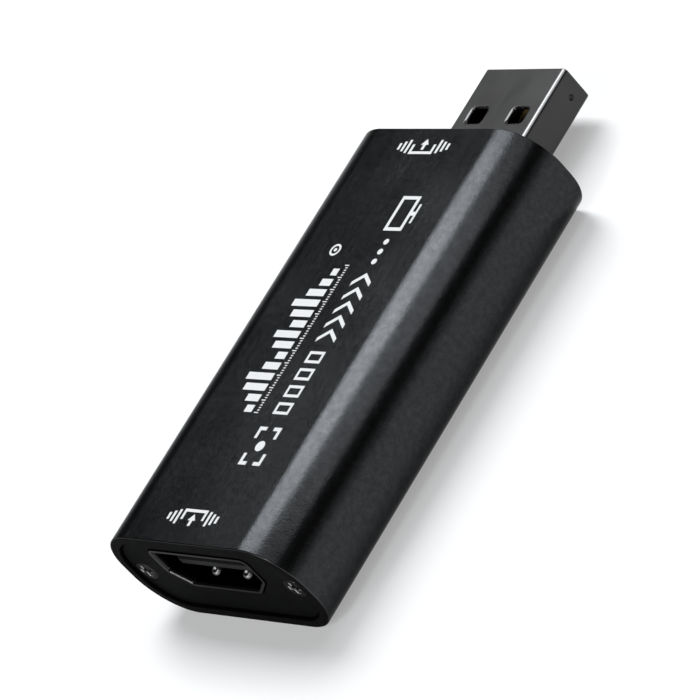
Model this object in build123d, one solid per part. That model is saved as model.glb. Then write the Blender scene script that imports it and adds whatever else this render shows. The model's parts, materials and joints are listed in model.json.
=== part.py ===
from build123d import *
import math
import os

# A video capture box: an extruded sleeve around a circuit board, with a digital video
# input socket at one end and a type A bus plug at the other.
# X is the width, Y the length, with the plug towards +Y, and Z is up. The origin is under
# the middle of the whole length, on the surface that the sleeve rests on.
# Sizes are in millimetres. Places along the box are measured from the end named beside them.

# Sleeve, one extrusion with milled ends
sleeve_length = 52.0
sleeve_width = 28.0
sleeve_height = 12.6
sleeve_side_flat = 1.6          # upright part of each side, between two round corners
sleeve_wall = 1.6
sleeve_edge_break = 0.12

# Screw channels and board ledges, which run the whole length of the extrusion
channel_inset = 2.7             # middle of a screw, in from the side of the sleeve
channel_core_radius = 0.75
channel_wall = 0.75
channel_slit = 0.5
ledge_thickness = 0.9
ledge_grip = 0.9                # reach of a ledge under the board

# End plates, seated in a step milled into each mouth of the sleeve
seat_step = 0.5                 # what is left of the wall as a stop for the plate
plate_recess = 0.3
plate_thickness = 1.5
plate_gap = 0.08
plate_edge_break = 0.15
cutout_gap = 0.15               # around the socket and around the plug

# Countersunk screws with a cross recess
screw_length = 5.0
screw_head_radius = 1.35
screw_head_height = 0.8
screw_core_gap = 0.03           # between the shank and the channel
screw_plate_gap = 0.05          # between the screw and its hole in the plate
recess_width = 0.45
recess_length = 1.6
recess_depth = 0.5

# Circuit board
board_thickness = 1.2
board_edge_gap = 0.2            # to the wall of the sleeve
board_end_gap = 0.3             # to each end plate
board_guide_gap = 0.2           # under the screw channels
board_corner_radius = 0.8
notch_gap = 0.25                # around the tail of the plug
leg_slot_gap = 0.15
leg_reach = 0.9                 # of a soldered leg, below the board
leg_tip_length = 0.3
leg_tip_share = 0.5             # of the leg's width, left at its tip

# Shell of the input socket: wide side up, lower corners cut off
socket_opening_width = 14.0
socket_opening_height = 4.55
socket_side_height = 2.75       # upright part of each side, down from the roof
socket_floor_width = 9.8
socket_corner_radius = 0.35
socket_shell_thickness = 0.3
socket_length = 11.6
socket_standoff = 0.4           # above the board
socket_recess = 0.2             # mouth, behind the end of the sleeve
lip_length = 0.45
lip_flare = 0.25
socket_leg_width = 1.2
socket_leg_place_shares = (0.31, 0.8)   # of the socket's length, from its mouth

# Spring fingers, two in the roof of the socket and two in its floor
spring_width = 1.6
spring_window_gap = 0.3
spring_spacing = 4.8
spring_start = 1.0              # window's front edge, behind the mouth
spring_length = 5.3
spring_crest = 0.5              # how far a finger stands into the opening
spring_crest_share = 0.22       # of the finger's length, from its free end
spring_bend_radius = 0.6

# Insulator and contacts of the input socket
tongue_width = 11.1
tongue_thickness = 1.1
tongue_rise = 0.1               # above the middle of the opening
tongue_start = 0.9              # behind the mouth
tongue_edge_break = 0.2
block_start = 7.4               # behind the mouth
block_length = 2.2
block_gap = 0.05
contact_pitch = 1.0
contact_width = 0.3
contact_thickness = 0.2
contact_slot_gap = 0.03
contact_start = 0.5             # behind the tongue's front
upper_contact_count = 10
lower_contact_count = 9
upper_contact_drop = 1.1        # middle of the upright run, behind the block
lower_contact_drop = 0.45
contact_foot_end = 2.9          # behind the block
contact_exit_height = 0.4       # of the gap in the shell, above its floor

# Shell of the output plug, a folded tube
plug_reach = 12.5               # past the end of the sleeve
plug_tail = 6.0                 # inside the end of the sleeve
plug_width = 12.0
plug_height = 4.5
plug_corner_radius = 0.5
plug_shell_thickness = 0.3
plug_edge_break = 0.1
window_width = 2.3
window_length = 2.0
window_spacing = 6.1
window_setback = 5.2            # front edge, behind the tip
dimple_radius = 0.6
dimple_depth = 0.15
dimple_setback = 1.8            # behind the tip
seam_gap = 0.08
seam_tab_length = 2.4
seam_tab_depth = 1.2
seam_tab_flare = 0.35
seam_tab_share = 0.5            # middle of the tab, along the reach
ear_reach = 1.6                 # middle of the leg, out from the side of the shell
ear_width = 2.2
ear_setback = 4.2               # middle of the ear, behind the end of the sleeve
ear_bend_radius = 0.4

# Insulator and contacts of the output plug
plug_insulator_gap = 0.05
plug_tongue_setback = 0.5       # behind the tip
plug_cavity_depth = 12.2        # behind the tip
plug_contact_width = 1.0
plug_contact_thickness = 0.25
plug_contact_slot_gap = 0.05
plug_contact_nose = 0.15
plug_outer_contact_start = 1.3  # behind the tip
plug_inner_contact_start = 2.3
plug_inner_contact_spacing = 2.0
plug_outer_contact_spacing = 7.0
plug_contact_tail = 2.0         # over the board, past its notch

# Moulded packages with gull-wing leads
mould_draft = 8.0               # degrees
mould_standoff = 0.1
pin_mark_radius = 0.3
pin_mark_inset = 0.75
pin_mark_depth = 0.08
lead_thickness = 0.14
lead_shoulder_share = 0.35      # of the lead's reach
lead_knee_share = 0.6

capture_body_width = 7.0
capture_body_height = 1.4
capture_lead_pitch = 0.5
capture_lead_width = 0.22
capture_lead_reach = 1.0
capture_leads_per_side = 12

memory_body_width = 3.9
memory_body_length = 4.9
memory_body_height = 1.45
memory_lead_pitch = 1.27
memory_lead_width = 0.42
memory_lead_reach = 1.05
memory_leads_per_side = 4

small_body_width = 1.6
small_body_length = 2.9
small_body_height = 1.0
small_lead_pitch = 0.95
small_lead_width = 0.4
small_lead_reach = 0.6
small_leads_per_side = 3
regulator_far_lead_count = 2    # on the side away from the three others

# Clock crystal, tantalum capacitor and chip parts
crystal_width = 2.5
crystal_length = 3.2
crystal_base_height = 0.5
crystal_lid_height = 0.2
crystal_lid_inset = 0.15

tantalum_width = 2.8
tantalum_length = 3.5
tantalum_height = 1.9
tantalum_strip_width = 2.2
tantalum_strip_thickness = 0.09
tantalum_strip_foot = 0.8

capacitor_length = 1.6
capacitor_width = 0.8
capacitor_height = 0.8
resistor_length = 1.6
resistor_width = 0.8
resistor_height = 0.45
bead_length = 2.0
bead_width = 1.25
bead_height = 0.9
end_cap_length = 0.3
end_cap_skin = 0.03             # how far a cap stands proud of its body

# Solder around the legs, under the board
solder_foot = 0.45
solder_neck = 0.08
solder_height = 0.6

# Free area of the board, for the electronics
free_side_gap = 0.3             # to the screw channels
free_end_gap = 0.8              # to the contacts of the socket and of the plug

# Places of the electronics: across as a share of the free half width, along as a share of
# the free length from the input end, and degrees of turn.
capture_place_share = (0.0, 0.47, 0)
memory_place_share = (0.58, 0.79, 0)
crystal_place_share = (-0.8, 0.49, 0)
tantalum_place_share = (-0.16, 0.82, 90)
regulator_place_shares = ((-0.7, 0.74, 180), (-0.7, 0.89, 180))
surge_place_shares = ((-0.54, 0.075, 90), (0.0, 0.075, 90), (0.54, 0.075, 90))
capacitor_place_shares = (
    (0.74, 0.34, 0), (0.74, 0.41, 0), (0.74, 0.48, 0), (0.74, 0.55, 0), (0.74, 0.62, 0),
    (-0.74, 0.34, 0), (-0.74, 0.62, 0),
    (-0.42, 0.74, 90), (-0.42, 0.89, 90),
    (0.58, 0.95, 0), (0.12, 0.93, 90), (0.24, 0.93, 90),
)
resistor_place_shares = (
    (-0.74, 0.19, 90), (-0.58, 0.19, 90), (-0.42, 0.19, 90), (-0.26, 0.19, 90),
    (0.26, 0.19, 90), (0.42, 0.19, 90), (0.58, 0.19, 90), (0.74, 0.19, 90),
    (0.74, 0.27, 0), (-0.74, 0.27, 0),
)
bead_place_shares = ((-0.08, 0.19, 90), (0.08, 0.19, 90), (-0.16, 0.95, 90))

overrun = 0.5                   # how far a cutter passes the faces that it cuts

# Places along the box
input_end = -(sleeve_length + plug_reach) / 2
output_end = input_end + sleeve_length
plug_tip = output_end + plug_reach
seat_depth = plate_recess + plate_thickness
mouth_wall = sleeve_wall - seat_step

socket_mouth = input_end + socket_recess
socket_back = socket_mouth + socket_length
block_back = socket_mouth + block_start + block_length
plug_back = output_end - plug_tail
plug_length = plug_tail + plug_reach

board_front = input_end + seat_depth + board_end_gap
board_back = output_end - seat_depth - board_end_gap
notch_edge = plug_back - notch_gap

# Places across and up
corner_radius = (sleeve_height - sleeve_side_flat) / 2
screw_x = sleeve_width / 2 - channel_inset
screw_z = sleeve_height / 2
channel_radius = channel_core_radius + channel_wall
shank_radius = channel_core_radius - screw_core_gap

board_top = screw_z - channel_radius - board_guide_gap
board_bottom = board_top - board_thickness

socket_floor = board_top + socket_standoff + socket_shell_thickness
socket_middle = socket_floor + socket_opening_height / 2
socket_roof = socket_floor + socket_opening_height
socket_leg_x = (socket_opening_width + socket_shell_thickness) / 2

tongue_middle = socket_middle + tongue_rise
upper_contact_z = tongue_middle + (tongue_thickness - contact_thickness) / 2
lower_contact_z = tongue_middle - (tongue_thickness - contact_thickness) / 2

# The plug's contacts lie on the board, level with the middle of the plug.
plug_middle = board_top + plug_contact_thickness
plug_leg_x = plug_width / 2 + ear_reach

free_half_width = screw_x - channel_radius - free_side_gap
free_start = block_back + contact_foot_end + free_end_gap
free_end = notch_edge - plug_contact_tail - free_end_gap


def across(section, start, length):
    """A section drawn in width and height, run along the box from a place on it."""
    return extrude(Plane.XZ.offset(-start) * section, amount=length, dir=(0, 1, 0))


def lengthwise(section, middle, width):
    """A section drawn in length and height, run both ways from a place across the box."""
    return extrude(Plane.YZ.offset(middle) * section, amount=width / 2, both=True)


def upright(section, bottom, height):
    """A section drawn from above, run up from a height."""
    return extrude(Pos(0, 0, bottom) * section, amount=height)


def polygon(*points):
    return make_face(Polyline(*points, close=True))


def stacked(*levels):
    """A solid with flat sides through centred rectangles, each a height, a width and a length."""
    sections = []
    for size in (1, 2):
        edge = [(level[size] / 2, level[0]) for level in levels]
        sections.append(polygon(*edge, *[(-half, height) for half, height in reversed(edge)]))
    widest = max(level[1] for level in levels)
    longest = max(level[2] for level in levels)
    return across(sections[0], -longest / 2, longest) & lengthwise(sections[1], 0, widest)


def bent_strip(points, thickness, radius=0):
    """A strip of sheet metal seen from its edge, with rounded bends where a radius is given."""
    line = FilletPolyline(*points, radius=radius) if radius else Polyline(*points)
    return trace(line, thickness)


def row_of(count, pitch):
    """Places of a centred row."""
    return [(index - (count - 1) / 2) * pitch for index in range(count)]


def save(name, *shapes):
    solids = [solid for shape in shapes for solid in shape.solids()]
    piece = solids[0] if len(solids) == 1 else Compound(solids)
    piece.label = name
    export_step(piece, f"parts/{name}.step")


# Housing

def sleeve_section(inset):
    """The sleeve's rounded outline, inset evenly."""
    width = sleeve_width - 2 * inset
    height = sleeve_height - 2 * inset
    return Pos(0, screw_z) * RectangleRounded(width, height, corner_radius - inset)


def cavity_half_width(height):
    """Half the width of the hollow at a height near its floor, between the round corners."""
    radius = corner_radius - sleeve_wall
    drop = max(0, corner_radius - height)
    return sleeve_width / 2 - corner_radius + math.sqrt(radius ** 2 - drop ** 2)


board_half_width = cavity_half_width(board_bottom) - board_edge_gap


def hollow_section():
    """The sleeve's hollow, with a slit screw channel and a board ledge at each side."""
    hollow = sleeve_section(sleeve_wall)
    ledge_start = board_half_width - ledge_grip
    for side in (-1, 1):
        screw = Pos(side * screw_x, screw_z)
        ledge_place = Pos(side * (ledge_start + sleeve_width / 2) / 2, board_bottom - ledge_thickness / 2)
        hollow -= screw * Circle(channel_radius)
        hollow -= ledge_place * Rectangle(sleeve_width / 2 - ledge_start, ledge_thickness)
        hollow += screw * Circle(channel_core_radius)
        hollow += screw * Pos(-side * channel_radius, 0) * Rectangle(2 * channel_radius, channel_slit)
    return hollow


def make_sleeve():
    blank = across(sleeve_section(0), input_end, sleeve_length)
    ends = blank.faces().sort_by(Axis.Y)
    blank = chamfer(ends[0].edges() + ends[-1].edges(), sleeve_edge_break)
    blank -= across(hollow_section(), input_end - overrun, sleeve_length + 2 * overrun)
    mouth = sleeve_section(mouth_wall)
    blank -= across(mouth, input_end - overrun, seat_depth + overrun)
    blank -= across(mouth, output_end - seat_depth, seat_depth + overrun)
    return blank


def screw_profile(grow):
    """Half section of a countersunk screw, or of its hole when grown: radius, then depth."""
    head = screw_head_radius + grow
    shank = shank_radius + grow
    return polygon(
        (0, 0), (head, 0), (shank, screw_head_height + grow), (shank, screw_length),
        (0, screw_length),
    )


def cross_recess():
    cross = Rectangle(recess_length, recess_width) + Rectangle(recess_width, recess_length)
    return across(cross, 0, recess_depth)


def make_screw():
    """A screw with the top of its head at the origin, pointing along the box."""
    return revolve(screw_profile(0), Axis.Y) - cross_recess()


def screw_places(end):
    """Where the two screws of an end plate sit, turned to point into the box."""
    inward, turn = (1, 0) if end == input_end else (-1, 180)
    return [Pos(x, end + inward * plate_recess, screw_z) * Rot(0, 0, turn) for x in (-screw_x, screw_x)]


def make_plate(end, cutout):
    """An end plate with its countersunk holes and a cut-out for the connector."""
    start = end + plate_recess if end == input_end else end - seat_depth
    blank = across(sleeve_section(mouth_wall + plate_gap), start, plate_thickness)
    outer = blank.faces().sort_by(Axis.Y)[0 if end == input_end else -1]
    blank = chamfer(outer.edges(), plate_edge_break)
    blank -= across(cutout, start - overrun, plate_thickness + 2 * overrun)
    hole = revolve(screw_profile(screw_plate_gap), Axis.Y)
    for place in screw_places(end):
        blank -= place * hole
    return blank


# Circuit board

def leg_outline(middle, width, top):
    """A soldered leg seen from the side, with a narrowed tip under the board."""
    tip = board_bottom - leg_reach
    half, half_tip = width / 2, width * leg_tip_share / 2
    return polygon(
        (middle - half, top), (middle - half, tip + leg_tip_length), (middle - half_tip, tip),
        (middle + half_tip, tip), (middle + half, tip + leg_tip_length), (middle + half, top),
    )


def leg_places():
    """Each soldered leg as its place across, its place along, its thickness and its width."""
    legs = []
    for side in (-1, 1):
        for share in socket_leg_place_shares:
            along = socket_mouth + share * socket_length
            legs.append((side * socket_leg_x, along, socket_shell_thickness, socket_leg_width))
        legs.append((side * plug_leg_x, output_end - ear_setback, plug_shell_thickness, ear_width))
    return legs


def make_board():
    length = board_back - board_front
    outline = RectangleRounded(2 * board_half_width, length, board_corner_radius)
    board = Pos(0, (board_front + board_back) / 2) * outline
    notch_length = board_back - notch_edge
    notch_width = plug_width + 2 * notch_gap
    board -= Pos(0, notch_edge + notch_length) * Rectangle(notch_width, 2 * notch_length)
    for x, y, thickness, width in leg_places():
        board -= Pos(x, y) * Rectangle(thickness + 2 * leg_slot_gap, width + 2 * leg_slot_gap)
    return upright(board, board_bottom, board_thickness)


def make_leg_solder():
    """A tapered fillet of solder around each leg, under the board."""
    bottom = board_bottom - solder_height
    fillets = []
    for x, y, thickness, width in leg_places():
        taper = stacked(
            (board_bottom, thickness + 2 * solder_foot, width + 2 * solder_foot),
            (bottom, thickness + 2 * solder_neck, width + 2 * solder_neck),
        )
        leg = upright(Rectangle(thickness, width), bottom - overrun, solder_height + 2 * overrun)
        fillets.append(Pos(x, y) * (taper - leg))
    return fillets


# Input socket

def socket_outline(grow):
    """The socket's opening, wide side up, grown evenly."""
    half, half_floor = socket_opening_width / 2, socket_floor_width / 2
    knee = socket_roof - socket_side_height
    opening = polygon(
        (-half, socket_roof), (half, socket_roof), (half, knee),
        (half_floor, socket_floor), (-half_floor, socket_floor), (-half, knee),
    )
    opening = fillet(opening.vertices(), socket_corner_radius)
    return offset(opening, grow) if grow else opening


def flared_mouth(grow):
    """The socket's outline, widening over the lip towards its mouth."""
    angle = math.degrees(math.atan2(lip_flare, lip_length))
    neck = Plane.XZ.offset(-(socket_mouth + lip_length)) * socket_outline(grow)
    return extrude(neck, amount=lip_length, taper=-angle)


def make_spring(middle, wall, inward):
    """A bent finger cut from a wall, rooted at its inner end and free towards the mouth."""
    front = socket_mouth + spring_start + spring_window_gap
    root = socket_mouth + spring_start + spring_length
    crest = front + spring_crest_share * (root - front)
    points = (
        (root + spring_window_gap, wall), (root, wall),
        (crest, wall + inward * spring_crest), (front, wall),
    )
    strip = bent_strip(points, socket_shell_thickness, spring_bend_radius)
    return lengthwise(strip, middle, spring_width)


def make_socket_shell():
    start = socket_mouth + lip_length
    length = socket_back - start
    shell = across(socket_outline(socket_shell_thickness), start, length)
    shell += flared_mouth(socket_shell_thickness)
    shell -= across(socket_outline(0), start, length - socket_shell_thickness)
    shell -= flared_mouth(0)

    # The contacts leave through the floor and the back wall, behind the block.
    exit_height = socket_shell_thickness + contact_exit_height
    exit_length = socket_back - block_back
    shell -= Pos(0, block_back + exit_length, socket_floor - socket_shell_thickness) * Box(
        socket_floor_width, 2 * exit_length, 2 * exit_height)

    window = Rectangle(spring_width + 2 * spring_window_gap, spring_length)
    window_middle = socket_mouth + spring_start + spring_length / 2
    for middle in (-spring_spacing / 2, spring_spacing / 2):
        shell -= upright(Pos(middle, window_middle) * window,
                         socket_floor - socket_shell_thickness - overrun,
                         socket_opening_height + 2 * socket_shell_thickness + 2 * overrun)
        for wall, inward in (
            (socket_floor - socket_shell_thickness / 2, 1),
            (socket_roof + socket_shell_thickness / 2, -1),
        ):
            shell += make_spring(middle, wall, inward)

    for side in (-1, 1):
        for share in socket_leg_place_shares:
            outline = leg_outline(socket_mouth + share * socket_length, socket_leg_width, socket_middle)
            shell += lengthwise(outline, side * socket_leg_x, socket_shell_thickness)
    return shell


def contact_rows():
    """Each row of contacts: its count, its level and the place where it turns down."""
    return (
        (upper_contact_count, upper_contact_z, block_back + upper_contact_drop),
        (lower_contact_count, lower_contact_z, block_back + lower_contact_drop),
    )


def make_socket_insulator():
    """The tongue on its rear block, with a slot for each contact."""
    tongue_front = socket_mouth + tongue_start
    block_front = socket_mouth + block_start
    tongue = Pos(0, (tongue_front + block_front) / 2, tongue_middle) * Box(
        tongue_width, block_front - tongue_front, tongue_thickness)
    front = tongue.faces().sort_by(Axis.Y)[0]
    tongue = chamfer(front.edges(), tongue_edge_break)
    body = tongue + across(socket_outline(-block_gap), block_front, block_length)

    slot_start = tongue_front + contact_start
    slot_length = block_back + overrun - slot_start
    slot_width = contact_width + 2 * contact_slot_gap
    slot_height = contact_thickness + 2 * contact_slot_gap
    for (count, level, drop), outward in zip(contact_rows(), (1, -1)):
        slot = Box(slot_width, slot_length, slot_height)
        for middle in row_of(count, contact_pitch):
            body -= Pos(middle, slot_start + slot_length / 2, level + outward * contact_slot_gap) * slot
    return body


def make_socket_contacts(row):
    """A row of strips that lie on the tongue, turn down behind the block and stand on the board."""
    count, level, drop = contact_rows()[row]
    start = socket_mouth + tongue_start + contact_start
    foot = board_top + contact_thickness / 2
    points = ((start, level), (drop, level), (drop, foot), (block_back + contact_foot_end, foot))
    strip = bent_strip(points, contact_thickness)
    return [lengthwise(strip, middle, contact_width) for middle in row_of(count, contact_pitch)]


# Output plug

def plug_outline(grow):
    width = plug_width + 2 * grow
    height = plug_height + 2 * grow
    return Pos(0, plug_middle) * RectangleRounded(width, height, plug_corner_radius + grow)


def seam_line():
    """The joint of the folded shell, seen from above, with one locking tab."""
    middle = output_end + seam_tab_share * plug_reach
    start, end = middle - seam_tab_length / 2, middle + seam_tab_length / 2
    return trace(Polyline(
        (0, plug_back - overrun), (0, start + seam_tab_flare), (seam_tab_depth, start),
        (seam_tab_depth, end), (0, end - seam_tab_flare), (0, plug_tip + overrun),
    ), seam_gap)


def make_ear(side):
    """A flange from the side of the shell that lies on the board and turns down through it."""
    level = board_top + plug_shell_thickness / 2
    wall = plug_width / 2 - plug_shell_thickness / 2
    points = ((side * wall, level), (side * plug_leg_x, level), (side * plug_leg_x, board_bottom - leg_reach))
    strip = bent_strip(points, plug_shell_thickness, ear_bend_radius)
    return across(strip, output_end - ear_setback - ear_width / 2, ear_width)


def make_plug_shell():
    blank = across(plug_outline(0), plug_back, plug_length)
    tip = blank.faces().sort_by(Axis.Y)[-1]
    shell = chamfer(tip.edges(), plug_edge_break)
    shell -= across(plug_outline(-plug_shell_thickness), plug_back - overrun, plug_length + 2 * overrun)

    window = Rectangle(window_width, window_length)
    window_middle = plug_tip - window_setback - window_length / 2
    ball_x = plug_width / 2 + dimple_radius - dimple_depth
    # The ball is turned, so that its own seam is clear of the wall.
    ball = Rot(0, 0, 90) * Sphere(dimple_radius)
    for side in (-1, 1):
        place = Pos(side * window_spacing / 2, window_middle)
        shell -= upright(place * window, plug_middle - plug_height, 2 * plug_height)
        shell -= Pos(side * ball_x, plug_tip - dimple_setback, plug_middle) * ball
        shell += make_ear(side)

    floor = plug_middle - plug_height / 2
    shell -= upright(seam_line(), floor - overrun, plug_shell_thickness + 2 * overrun)
    return shell


def plug_contact_places():
    """Each contact of the plug: its place across and the place of its nose."""
    places = []
    for side in (-1, 1):
        places.append((side * plug_outer_contact_spacing / 2, plug_tip - plug_outer_contact_start))
        places.append((side * plug_inner_contact_spacing / 2, plug_tip - plug_inner_contact_start))
    return places


def make_plug_insulator():
    """The plug's tongue and rear block, with a slot for each contact."""
    outline = plug_outline(-plug_shell_thickness - plug_insulator_gap)
    body = across(outline, plug_back, plug_length - plug_tongue_setback)
    body -= Pos(0, plug_tip, plug_middle + plug_height / 2) * Box(
        2 * plug_width, 2 * plug_cavity_depth, plug_height)
    for middle, nose in plug_contact_places():
        start = plug_back - overrun
        length = nose + plug_contact_slot_gap - start
        height = plug_contact_thickness + plug_contact_slot_gap
        slot = Box(plug_contact_width + 2 * plug_contact_slot_gap, length, height)
        body -= Pos(middle, start + length / 2, board_top + height / 2) * slot
    return body


def make_plug_contacts():
    """Flat strips along the tongue that end on the board, each with a bevelled nose."""
    tail = notch_edge - plug_contact_tail
    contacts = []
    for middle, nose in plug_contact_places():
        outline = polygon(
            (tail, board_top), (nose, board_top), (nose, plug_middle - plug_contact_nose),
            (nose - plug_contact_nose, plug_middle), (tail, plug_middle),
        )
        contacts.append(lengthwise(outline, middle, plug_contact_width))
    return contacts


# Electronics

def on_board(place_share):
    """Where a component stands on the free area of the board, with its turn."""
    across_share, along_share, turn = place_share
    along = free_start + along_share * (free_end - free_start)
    return Pos(across_share * free_half_width, along, board_top) * Rot(0, 0, turn)


def block(width, length, bottom, height):
    return Pos(0, 0, bottom + height / 2) * Box(width, length, height)


def moulded_body(width, length, height):
    """A moulded package with drafted sides, widest half way up."""
    shrink = height * math.tan(math.radians(mould_draft))
    face = (width - shrink, length - shrink)
    return stacked(
        (mould_standoff, *face), (mould_standoff + height / 2, width, length),
        (mould_standoff + height, *face),
    )


def marked_body(width, length, height):
    """A moulded package with a round mark by its first lead."""
    mark = Cylinder(pin_mark_radius, 2 * pin_mark_depth)
    place = Pos(pin_mark_inset - width / 2, length / 2 - pin_mark_inset, mould_standoff + height)
    return moulded_body(width, length, height) - place * mark


def make_leads(width, height, reach, lead_width, rows):
    """The gull-wing leads of a package, in rows given by their turn, count and pitch."""
    start = width / 2
    shoulder = mould_standoff + height / 2
    foot = lead_thickness / 2
    points = (
        (start, shoulder), (start + lead_shoulder_share * reach, shoulder),
        (start + lead_knee_share * reach, foot), (start + reach, foot),
    )
    outline = bent_strip(points, lead_thickness)
    return [Rot(0, 0, turn) * across(outline, middle - lead_width / 2, lead_width)
            for turn, count, pitch in rows for middle in row_of(count, pitch)]


def make_crystal():
    place = on_board(crystal_place_share)
    lid_width = crystal_width - 2 * crystal_lid_inset
    lid_length = crystal_length - 2 * crystal_lid_inset
    return (place * block(crystal_width, crystal_length, 0, crystal_base_height),
            place * block(lid_width, lid_length, crystal_base_height, crystal_lid_height))


def make_tantalum():
    """A moulded capacitor on two strips that fold down its ends and under it."""
    place = on_board(tantalum_place_share)
    body = moulded_body(tantalum_width, tantalum_length, tantalum_height)
    end = (tantalum_length + tantalum_strip_thickness) / 2
    middle = mould_standoff + tantalum_height / 2
    foot = tantalum_strip_thickness / 2
    strips = []
    for side in (-1, 1):
        points = ((side * end, middle), (side * end, foot), (side * (end - tantalum_strip_foot), foot))
        outline = bent_strip(points, tantalum_strip_thickness)
        strips.append(place * lengthwise(outline, 0, tantalum_strip_width))
    return place * body, strips


def make_chip_parts(places, length, width, height):
    """Small two-ended parts at their places: the bodies, and the metal caps on their ends."""
    body_length = length - 2 * end_cap_length
    skin = end_cap_skin
    body = block(body_length, width - 2 * skin, skin, height - 2 * skin)
    cap = block(end_cap_length, width, 0, height)
    bodies = [on_board(place) * body for place in places]
    caps = [on_board(place) * Pos(side * (body_length + end_cap_length) / 2, 0) * cap
            for place in places for side in (-1, 1)]
    return bodies, caps


def write_housing():
    save("sleeve", make_sleeve())
    lip = socket_outline(socket_shell_thickness + lip_flare + cutout_gap)
    save("input_end_plate", make_plate(input_end, lip))
    save("output_end_plate", make_plate(output_end, plug_outline(cutout_gap)))
    screw = make_screw()
    save("input_plate_screws", *[place * screw for place in screw_places(input_end)])
    save("output_plate_screws", *[place * screw for place in screw_places(output_end)])


def write_connectors():
    save("socket_shell", make_socket_shell())
    save("socket_insulator", make_socket_insulator())
    save("socket_upper_contacts", *make_socket_contacts(0))
    save("socket_lower_contacts", *make_socket_contacts(1))
    save("plug_shell", make_plug_shell())
    save("plug_insulator", make_plug_insulator())
    save("plug_contacts", *make_plug_contacts())


def save_package(body_name, lead_name, places, body, leads):
    save(body_name, *[on_board(place) * body for place in places])
    save(lead_name, *[on_board(place) * lead for place in places for lead in leads])


def write_packages():
    rows = [(turn, capture_leads_per_side, capture_lead_pitch) for turn in (0, 90, 180, 270)]
    body = marked_body(capture_body_width, capture_body_width, capture_body_height)
    leads = make_leads(
        capture_body_width, capture_body_height, capture_lead_reach, capture_lead_width, rows)
    save_package("capture_chip", "capture_chip_leads", [capture_place_share], body, leads)

    rows = [(turn, memory_leads_per_side, memory_lead_pitch) for turn in (0, 180)]
    body = marked_body(memory_body_width, memory_body_length, memory_body_height)
    leads = make_leads(
        memory_body_width, memory_body_height, memory_lead_reach, memory_lead_width, rows)
    save_package("memory_chip", "memory_chip_leads", [memory_place_share], body, leads)

    # A regulator lacks the middle lead on its far side.
    near_row = (0, small_leads_per_side, small_lead_pitch)
    full_row = (180, small_leads_per_side, small_lead_pitch)
    wide_row = (180, regulator_far_lead_count, 2 * small_lead_pitch)
    body = moulded_body(small_body_width, small_body_length, small_body_height)
    for names, places, far_row in (
        (("regulators", "regulator_leads"), regulator_place_shares, wide_row),
        (("surge_arrays", "surge_array_leads"), surge_place_shares, full_row),
    ):
        leads = make_leads(small_body_width, small_body_height, small_lead_reach,
                           small_lead_width, (near_row, far_row))
        save_package(*names, places, body, leads)


def write_electronics():
    save("circuit_board", make_board())
    save("leg_solder", *make_leg_solder())
    write_packages()

    base, lid = make_crystal()
    save("crystal_base", base)
    save("crystal_lid", lid)
    body, strips = make_tantalum()
    save("tantalum_capacitor", body)
    save("tantalum_strips", *strips)

    capacitors, capacitor_caps = make_chip_parts(
        capacitor_place_shares, capacitor_length, capacitor_width, capacitor_height)
    resistors, resistor_caps = make_chip_parts(
        resistor_place_shares, resistor_length, resistor_width, resistor_height)
    beads, bead_caps = make_chip_parts(bead_place_shares, bead_length, bead_width, bead_height)
    save("ceramic_capacitors", *capacitors)
    save("resistors", *resistors)
    save("ferrite_beads", *beads)
    save("chip_end_caps", *capacitor_caps, *resistor_caps, *bead_caps)


os.makedirs("parts", exist_ok=True)
write_housing()
write_connectors()
write_electronics()
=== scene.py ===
import json
import math
import bmesh
import bpy
from mathutils import Matrix, Vector


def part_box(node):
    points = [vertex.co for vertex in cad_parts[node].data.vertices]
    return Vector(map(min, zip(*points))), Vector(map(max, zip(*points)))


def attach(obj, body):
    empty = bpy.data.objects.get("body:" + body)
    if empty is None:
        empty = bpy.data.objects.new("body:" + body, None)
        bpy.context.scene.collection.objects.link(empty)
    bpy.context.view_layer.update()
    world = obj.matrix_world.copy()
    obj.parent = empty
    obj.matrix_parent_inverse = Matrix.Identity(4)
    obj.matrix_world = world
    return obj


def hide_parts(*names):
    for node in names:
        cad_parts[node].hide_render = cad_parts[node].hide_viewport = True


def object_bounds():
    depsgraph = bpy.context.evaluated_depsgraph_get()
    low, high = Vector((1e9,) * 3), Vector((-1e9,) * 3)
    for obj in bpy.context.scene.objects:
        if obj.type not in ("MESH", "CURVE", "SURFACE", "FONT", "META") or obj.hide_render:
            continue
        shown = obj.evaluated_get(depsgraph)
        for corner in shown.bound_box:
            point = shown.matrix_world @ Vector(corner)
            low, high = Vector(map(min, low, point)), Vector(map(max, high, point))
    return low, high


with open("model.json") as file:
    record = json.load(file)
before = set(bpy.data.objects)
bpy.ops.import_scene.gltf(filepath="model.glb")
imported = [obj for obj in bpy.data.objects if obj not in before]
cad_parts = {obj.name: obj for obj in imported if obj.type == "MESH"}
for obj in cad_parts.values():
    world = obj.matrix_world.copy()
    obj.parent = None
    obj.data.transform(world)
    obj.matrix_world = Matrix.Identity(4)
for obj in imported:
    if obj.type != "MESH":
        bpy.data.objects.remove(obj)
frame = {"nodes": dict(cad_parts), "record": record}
cadLow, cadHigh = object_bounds()
mm = 0.001


# Nodes of a material, written as arithmetic


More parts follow.
